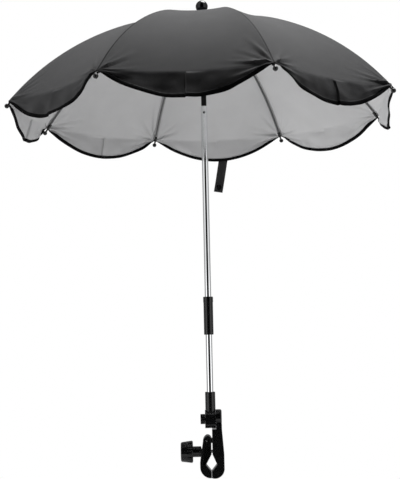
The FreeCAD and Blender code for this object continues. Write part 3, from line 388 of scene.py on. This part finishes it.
def cloth_panel(k, outer, inner, binding):
    """Thin two-sided shell over rib k, with a thicker bound hem."""
    columns = panel_grid(k)
    smooth = [[entry[0] for entry in column] for column in columns]
    normals = grid_normals(smooth)
    count = len(smooth[0])
    vertices = []
    for layer in (0, 1):
        for i, column in enumerate(columns):
            for j, (point, _, _, off) in enumerate(column):
                bulge = BINDING_BULGE if count - HEM_ROWS <= j < count - 1 else 0.0
                lift = off + (bulge if layer == 0 else -CLOTH_THICKNESS - bulge)
                vertices.append(point + normals[i][j] * lift)
    size = len(columns) * count
    faces = []
    slots = []
    for i in range(len(columns) - 1):
        for j in range(count - 1):
            a = i * count + j
            b = a + count
            bound = j >= count - HEM_ROWS
            faces.append((a, a + 1, b + 1, b))
            slots.append(BINDING_SLOT if bound else OUTER_SLOT)
            faces.append((a + size, b + size, b + size + 1, a + size + 1))
            slots.append(BINDING_SLOT if bound else INNER_SLOT)
    rim = [i * count for i in range(len(columns))]
    rim += [(len(columns) - 1) * count + j for j in range(1, count)]
    rim += [i * count + count - 1 for i in range(len(columns) - 2, -1, -1)]
    rim += list(range(count - 2, 0, -1))
    for a, b in zip(rim, rim[1:] + rim[:1]):
        faces.append((a, b, b + size, a + size))
        on_hem = (a % count == count - 1) and (b % count == count - 1)
        slots.append(BINDING_SLOT if on_hem else OUTER_SLOT)
    mesh = bpy.data.meshes.new("canopy_cloth_%d" % (k + 1))
    mesh.from_pydata(vertices, [], faces)
    for polygon, slot in zip(mesh.polygons, slots):
        polygon.material_index = slot
        polygon.use_smooth = True
    mesh.set_sharp_from_angle(angle=SHARP_TURN)
    uv = mesh.uv_layers.new(name="cloth")
    ridge = smooth[len(columns) // 2]
    for loop in mesh.loops:
        i, j = divmod(loop.vertex_index % size, count)
        point, along, place, _ = columns[i][j]
        aside = (point - ridge[j]).length
        uv.data[loop.index].uv = (math.copysign(aside, place), along)
    for material in (outer, inner, binding):
        mesh.materials.append(material)
    return add_object(mesh)


def layer_area(piece):
    """Area of the outer layer of a shell: its outer cloth and half of what is bound."""
    areas = [0.0, 0.0, 0.0]
    for polygon in piece.data.polygons:
        areas[polygon.material_index] += polygon.area
    return areas[OUTER_SLOT] + areas[BINDING_SLOT] / 2


SOCKET_NAMES = {"specular_ior_level": "Specular IOR Level"}


class Finish:
    """A procedural material, built up node by node."""

    def __init__(self, name, color, roughness, metallic=0.0):
        self.material = bpy.data.materials.new(name)
        self.material.use_nodes = True
        self.nodes = self.material.node_tree.nodes
        self.links = self.material.node_tree.links
        self.shader = self.nodes["Principled BSDF"]
        self.shader.inputs["Metallic"].default_value = metallic
        self.color = color
        self.roughness = roughness
        self.height = None

    def set(self, **values):
        """Values of the shader's own sockets."""
        for socket, value in values.items():
            name = SOCKET_NAMES.get(socket, socket.replace("_", " ").title())
            self.shader.inputs[name].default_value = value

    def node(self, kind, **values):
        """New node with its properties and inputs set by name."""
        made = self.nodes.new(kind)
        for name, value in values.items():
            if hasattr(made, name):
                setattr(made, name, value)
            else:
                made.inputs[name].default_value = value
        return made

    def coordinates(self, kind, stretch=(1, 1, 1)):
        source = self.node("ShaderNodeTexCoord")
        mapping = self.node("ShaderNodeMapping", Scale=stretch)
        self.links.new(source.outputs[kind], mapping.inputs["Vector"])
        return mapping.outputs["Vector"]

    def noise(self, vector, scale, detail=3.0):
        made = self.node("ShaderNodeTexNoise", Scale=scale, Detail=detail)
        self.links.new(vector, made.inputs["Vector"])
        return made.outputs["Fac"]

    def math(self, operation, a, b):
        """Result of an operation on two values, each a number or a socket."""
        made = self.node("ShaderNodeMath", operation=operation)
        for socket, value in zip(made.inputs, (a, b)):
            if isinstance(value, (int, float)):
                socket.default_value = value
            else:
                self.links.new(value, socket)
        return made.outputs[0]

    def vary_color(self, fac, low, high):
        """Colour between two multiples of the base colour."""
        ramp = self.node("ShaderNodeValToRGB")
        for element, share in zip(ramp.color_ramp.elements, (low, high)):
            element.color = [c * share for c in self.color] + [1.0]
        self.links.new(fac, ramp.inputs["Fac"])
        self.links.new(ramp.outputs["Color"], self.shader.inputs["Base Color"])

    def vary_roughness(self, fac, spread):
        """Roughness between the base less spread and the base plus spread."""
        ranged = self.node("ShaderNodeMapRange")
        ranged.inputs["To Min"].default_value = self.roughness - spread
        ranged.inputs["To Max"].default_value = self.roughness + spread
        self.links.new(fac, ranged.inputs["Value"])
        self.links.new(ranged.outputs["Result"], self.shader.inputs["Roughness"])

    def bump(self, fac, depth, strength=1.0):
        """Relief on top of any that was added before."""
        made = self.node("ShaderNodeBump", Distance=depth, Strength=strength)
        self.links.new(fac, made.inputs["Height"])
        if self.height:
            self.links.new(self.height, made.inputs["Normal"])
        self.height = made.outputs["Normal"]
        self.links.new(self.height, self.shader.inputs["Normal"])


def moulded_plastic(name, color, roughness, grain):
    """Moulded plastic with a fine spark-eroded grain and faint flow marks."""
    made = Finish(name, color, roughness)
    place = made.coordinates("Object")
    made.vary_color(made.noise(place, PLASTIC_CLOUD_SCALE), *PLASTIC_TONES)
    made.vary_roughness(made.noise(place, PLASTIC_PATCH_SCALE), PLASTIC_PATCH_ROUGHNESS)
    made.bump(made.noise(place, PLASTIC_GRAIN_SCALE, detail=2.0), grain)
    return made


def metal(name, color, roughness, stretch, line_depth):
    """Metal with draw lines along one direction."""
    made = Finish(name, color, roughness, metallic=1.0)
    lines = made.noise(made.coordinates("Object", stretch), METAL_LINE_SCALE, detail=4.0)
    made.vary_color(made.noise(made.coordinates("Object"), METAL_CLOUD_SCALE), *METAL_TONES)
    made.vary_roughness(lines, roughness * METAL_LINE_ROUGHNESS)
    made.bump(lines, line_depth)
    return made


def woven(made, thread, depth):
    """Plain weave: threads over and under each other, as wide as thread."""
    split = made.node("ShaderNodeSeparateXYZ")
    made.links.new(made.coordinates("UV"), split.inputs[0])
    turns = math.pi / thread
    warp = made.math("SINE", made.math("MULTIPLY", split.outputs["X"], turns), 0.0)
    weft = made.math("SINE", made.math("MULTIPLY", split.outputs["Y"], turns), 0.0)
    made.bump(made.math("MULTIPLY", warp, weft), depth)


def seam_line(made, middle, width, depth):
    """Zero on the lines along a rib that lie as far from it as middle, on both sides, else one."""
    split = made.node("ShaderNodeSeparateXYZ")
    made.links.new(made.coordinates("UV"), split.inputs[0])
    aside = made.math("ABSOLUTE", split.outputs["X"], 0.0)
    off_line = made.math("ABSOLUTE", made.math("SUBTRACT", aside, middle), 0.0)
    line = made.node("ShaderNodeMapRange", interpolation_type="SMOOTHSTEP")
    line.inputs["From Min"].default_value = width * SEAM_CORE
    line.inputs["From Max"].default_value = width
    made.links.new(off_line, line.inputs["Value"])
    made.bump(line.outputs["Result"], depth)
    return line.outputs["Result"]


def cloth(name, color, roughness, seam=None):
    """Plain-woven cloth, slightly cloudy, with sewn lines along the ribs where seam describes them."""
    made = Finish(name, color, roughness)
    place = made.coordinates("Object")
    tone = made.node("ShaderNodeMapRange")
    tone.inputs["To Min"].default_value = CLOTH_CLOUD
    made.links.new(made.noise(place, CLOTH_CLOUD_SCALE, detail=4.0), tone.inputs["Value"])
    tone = tone.outputs["Result"]
    if seam:
        tone = made.math("MULTIPLY", tone, seam_line(made, **seam))
    made.vary_color(tone, SEAM_TONE, 1.0 / (0.5 + CLOTH_CLOUD / 2))
    made.vary_roughness(made.noise(place, CLOTH_PATCH_SCALE), CLOTH_PATCH_ROUGHNESS)
    made.bump(made.noise(place, CLOTH_PUCKER_SCALE), CLOTH_PUCKER_DEPTH, CLOTH_PUCKER_STRENGTH)
    woven(made, CLOTH_THREAD, CLOTH_THREAD_DEPTH)
    return made


def put_on_rib(piece, number, node):
    """Piece in place of a CAD node, on a rib."""
    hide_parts(node)
    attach(piece, "rib_%d" % number)
    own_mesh(piece)


def strap_piece(material):
    """Webbing strap: rounded edges, a slight curl and a turned-over end."""
    first, thick, wide, long = strap_axes()
    outward = thick.normalized()
    across = wide.normalized()
    down = long.normalized()
    half = thick.length / 2
    middle = first + thick / 2 + wide / 2
    reach = wide.length / 2 - half
    face = [((2 * i / STRAP_SIDES - 1) * reach, 1.0) for i in range(STRAP_SIDES + 1)]
    turns = [math.radians(angle) for angle in STRAP_EDGE_ANGLES]
    edge = [(reach + half * math.cos(turn), math.sin(turn)) for turn in turns]
    outline = face + edge + [(-x, -lift) for x, lift in face] + [(-x, lift) for x, lift in reversed(edge)]
    vertices = []
    for i in range(STRAP_ROWS + 1):
        run = i / STRAP_ROWS * long.length
        turned = half * (1.0 if long.length - run > STRAP_TURN_OVER else STRAP_DOUBLED)
        free = max(0.0, run - STRAP_SEWN) / (long.length - STRAP_SEWN)
        curl = STRAP_CURL * math.sin(math.pi * STRAP_CURL_TURNS * free) * free
        curl -= max(0.0, STRAP_SEWN - run) * math.tan(FLAP_FLARE)
        for x, lift in outline:
            vertices.append(middle + down * run + across * x + outward * (lift * turned + curl))
    count = len(outline)
    faces = [tuple(range(count)), tuple(reversed(range(STRAP_ROWS * count, (STRAP_ROWS + 1) * count)))]
    for i in range(STRAP_ROWS):
        for j in range(count):
            a = i * count + j
            b = i * count + (j + 1) % count
            faces.append((a, a + count, b + count, b))
    mesh = bpy.data.meshes.new("strap_webbing")
    mesh.from_pydata(vertices, [], faces)
    uv = mesh.uv_layers.new(name="cloth")
    for loop in mesh.loops:
        row, column = divmod(loop.vertex_index, count)
        uv.data[loop.index].uv = (outline[column][0], row / STRAP_ROWS * long.length)
    for polygon in mesh.polygons:
        polygon.use_smooth = len(polygon.vertices) == 4
    mesh.materials.append(material)
    return add_object(mesh)


def stud_piece(material):
    """Press stud through the strap: the CAD cap on the outer face and one like it on the inner face."""
    cap = frame["nodes"]["strap_stud"].data
    first, thick, _, _ = strap_axes()
    outward = thick.normalized()
    middle = first + thick / 2
    vertices = [Vector(v.co) for v in cap.vertices]
    vertices += [v - outward * 2 * (v - middle).dot(outward) for v in vertices]
    faces = [tuple(polygon.vertices) for polygon in cap.polygons]
    faces += [tuple(i + len(cap.vertices) for i in reversed(face)) for face in faces]
    mesh = bpy.data.meshes.new("press_stud")
    mesh.from_pydata(vertices, [], faces)
    mesh.materials.append(material)
    return add_object(mesh)


def studio_world():
    """White backdrop all round, whose light falls off towards the front. Gloss shows a dark strip there."""
    world = bpy.data.worlds.new("studio")
    world.use_nodes = True
    nodes = world.node_tree.nodes
    links = world.node_tree.links

    def ranged(value, limits):
        made = nodes.new("ShaderNodeMapRange")
        made.interpolation_type = "SMOOTHSTEP"
        for socket, limit in zip(("From Min", "From Max", "To Min", "To Max"), limits):
            made.inputs[socket].default_value = limit
        links.new(value, made.inputs["Value"])
        return made.outputs["Result"]

    def combined(operation, a, b):
        made = nodes.new("ShaderNodeMath")
        made.operation = operation
        for socket, value in zip(made.inputs, (a, b)):
            if isinstance(value, float):
                socket.default_value = value
            else:
                links.new(value, socket)
        return made.outputs[0]

    split = nodes.new("ShaderNodeSeparateXYZ")
    links.new(nodes.new("ShaderNodeTexCoord").outputs["Generated"], split.inputs[0])
    x, y, _ = split.outputs
    room = ranged(y, DARK_ROOM)
    aside = combined("ABSOLUTE", combined("DIVIDE", x, y), 0.0)
    strip = combined("MULTIPLY", ranged(aside, DARK_STRIP), ranged(aside, DIM_SIDE))
    behind = combined("MULTIPLY", ranged(y, DIM_BACK), combined("GREATER_THAN", y, 0.0))
    strip = combined("MAXIMUM", combined("MULTIPLY", strip, combined("LESS_THAN", y, 0.0)), behind)
    rays = nodes.new("ShaderNodeLightPath").outputs
    seen = combined("MAXIMUM", rays["Is Camera Ray"], rays["Is Transmission Ray"])
    gloss = combined("MULTIPLY", rays["Is Glossy Ray"], strip)
    lit = combined("MULTIPLY", room, rays["Is Diffuse Ray"])
    level = combined("MAXIMUM", seen, combined("MAXIMUM", gloss, lit))
    links.new(level, nodes["Background"].inputs["Strength"])
    nodes["Background"].inputs["Color"].default_value = (1, 1, 1, 1)
    bpy.context.scene.world = world


def soft_light(name, place, target, size, power):
    """Elliptical area light that points at the target."""
    data = bpy.data.lights.new(name, "AREA")
    data.shape = "ELLIPSE"
    data.size, data.size_y = size
    data.energy = power
    light = bpy.data.objects.new(name, data)
    bpy.context.collection.objects.link(light)
    light.location = place
    light.rotation_euler = (Vector(target) - Vector(place)).to_track_quat("-Z", "Y").to_euler()
    light.visible_glossy = name not in OUT_OF_GLOSS


def floor_disc():
    """Pale floor that keeps the shadow and fades to the white of the backdrop at its edge."""
    finish = Finish("floor", FLOOR_COLOR, FLOOR_ROUGHNESS)
    finish.set(roughness=FLOOR_ROUGHNESS)
    place = finish.coordinates("Object")
    finish.vary_color(finish.noise(place, FLOOR_CLOUD_SCALE), *FLOOR_TONES)
    reach = finish.node("ShaderNodeVectorMath", operation="LENGTH")
    finish.links.new(place, reach.inputs[0])
    fade = finish.node("ShaderNodeMapRange", interpolation_type="SMOOTHSTEP")
    fade.inputs["From Min"].default_value, fade.inputs["From Max"].default_value = FLOOR_FADE
    finish.links.new(reach.outputs["Value"], fade.inputs["Value"])
    rays = finish.node("ShaderNodeLightPath").outputs
    mirrored = finish.math("MAXIMUM", rays["Is Glossy Ray"], rays["Is Transmission Ray"])
    seen = finish.math("MAXIMUM", rays["Is Camera Ray"], mirrored)
    white = finish.node("ShaderNodeEmission")
    mixed = finish.node("ShaderNodeMixShader")
    finish.links.new(finish.math("MULTIPLY", fade.outputs["Result"], seen), mixed.inputs["Fac"])
    finish.links.new(finish.shader.outputs[0], mixed.inputs[1])
    finish.links.new(white.outputs[0], mixed.inputs[2])
    finish.links.new(mixed.outputs[0], finish.nodes["Material Output"].inputs["Surface"])
    turns = [2 * math.pi * i / FLOOR_SIDES for i in range(FLOOR_SIDES)]
    corners = [(FLOOR_RADIUS * math.cos(turn), FLOOR_RADIUS * math.sin(turn), 0) for turn in turns]
    mesh = bpy.data.meshes.new("floor")
    mesh.from_pydata(corners, [], [tuple(range(FLOOR_SIDES))])
    mesh.materials.append(finish.material)
    floor = add_object(mesh)
    floor.location = (0, FLOOR_BACK, CAD_BOX[0][2] - FLOOR_DROP)


def photo_camera():
    """Camera at the photograph's place and angle, whose long side is the image's height."""
    data = bpy.data.cameras.new("camera")
    data.sensor_width = SENSOR
    data.lens = FOCAL_PIXELS / IMAGE_HEIGHT * SENSOR
    camera = bpy.data.objects.new("camera", data)
    bpy.context.collection.objects.link(camera)
    yaw = Matrix.Rotation(math.radians(CAMERA_YAW), 3, "Z")
    pitch = Matrix.Rotation(math.radians(CAMERA_PITCH), 3, "X")
    roll = Matrix.Rotation(math.radians(CAMERA_ROLL), 3, "Y")
    aim = yaw @ pitch @ roll
    right, ahead, up = aim.col
    camera.matrix_world = Matrix((right, up, -ahead)).transposed().to_4x4()
    camera.location = CAMERA_PLACE
    bpy.context.scene.camera = camera


# Finishes of the cloth
cloth_outside = cloth("canopy_outside", (0.085, 0.085, 0.087), roughness=0.7,
                      seam={"middle": 0.0, "width": 0.0022, "depth": 0.0004})
cloth_outside.set(specular_ior_level=CLOTH_GLOSS, sheen_weight=0.03, sheen_roughness=0.4)
cloth_inside = cloth("canopy_silver_coating", (0.6, 0.6, 0.605), roughness=0.5,
                     seam={"middle": 0.004, "width": 0.0006, "depth": 0.0002})
cloth_inside.set(specular_ior_level=COATING_GLOSS)
hem_binding = cloth("hem_binding", (0.004, 0.004, 0.0042), roughness=0.8)
hem_binding.set(specular_ior_level=CLOTH_GLOSS)
webbing = cloth("strap_webbing", (0.016, 0.016, 0.017), roughness=0.6)
woven(webbing, WEBBING_THREAD, WEBBING_DEPTH)

# Finishes of the hard pieces, by the record's material slots
FINISHES = {
    "chrome_tube": metal("chrome_tube", (0.8, 0.81, 0.82), 0.07, DRAWN_ALONG_Z, 0.0000004),
    "clamp_plastic": moulded_plastic("clamp_plastic", (0.01, 0.01, 0.0105), 0.17, 0.000005),
    "hub_plastic": moulded_plastic("hub_plastic", (0.012, 0.012, 0.0125), 0.35, 0.00002),
    "gloss_plastic": moulded_plastic("finial_plastic", (0.006, 0.006, 0.0065), 0.1, 0.00001),
    "tip_plastic": moulded_plastic("tip_plastic", (0.005, 0.005, 0.0053), 0.22, 0.00001),
    "washer_plastic": moulded_plastic("washer_plastic", (0.014, 0.014, 0.015), 0.4, 0.00002),
    "black_steel": moulded_plastic("black_paint", (0.004, 0.004, 0.0042), 0.35, 0.00003),
    "rib_steel": moulded_plastic("rib_paint", (0.2, 0.2, 0.203), 0.4, 0.00003),
    "bare_steel": metal("bare_steel", (0.5, 0.5, 0.51), 0.28, TURNED_ALONG_X, 0.00002),
    "brass": metal("brass", (0.68, 0.5, 0.22), 0.3, TURNED_ALONG_X, 0.00002),
    # Painted dark reflection: the snap button's steel is far darker than bare steel, so the chrome dome
    # reads as a dark dot
    "button_steel_painted_dark": metal("button_steel_painted_dark", (0.1, 0.1, 0.104), 0.2, PRESSED_ALONG_Z, 0.00001),
}
# Nodes whose finish differs from that of their slot. The snap button's steel is painted dark, a painted
# dark reflection in place of what its chrome dome mirrors
NODE_FINISHES = {"snap_button": "button_steel_painted_dark"}
for finish in ("gloss_plastic", "tip_plastic", "clamp_plastic", "hub_plastic", "washer_plastic"):
    FINISHES[finish].set(specular_ior_level=PLASTIC_GLOSS)
FINISHES["black_steel"].set(specular_ior_level=PAINT_GLOSS)

for entry in frame["record"]["subparts"]:
    finish = FINISHES.get(NODE_FINISHES.get(entry["node"], entry["material_slot"]))
    if finish:
        node = frame["nodes"][entry["node"]]
        node.data.materials.clear()
        node.data.materials.append(finish.material)

# Pieces
for k in range(RIB_COUNT):
    piece = cloth_panel(k, cloth_outside.material, cloth_inside.material, hem_binding.material)
    put_on_rib(piece, k + 1, "canopy_panel_%d" % (k + 1))
    rim = dome_point(RIB_LINE, 0.5)[0]
    layer_area(piece)

strap = strap_piece(webbing.material)
stud = stud_piece(FINISHES["black_steel"].material)
put_on_rib(strap, STRAP_RIB, "tie_strap")
put_on_rib(stud, STRAP_RIB, "strap_stud")

# Studio and camera
studio_world()
floor_disc()
for name, (place, size, power) in LIGHTS.items():
    soft_light(name, place, CANOPY_MIDDLE, size, power)
photo_camera()
bpy.context.scene.view_settings.view_transform = "Standard"
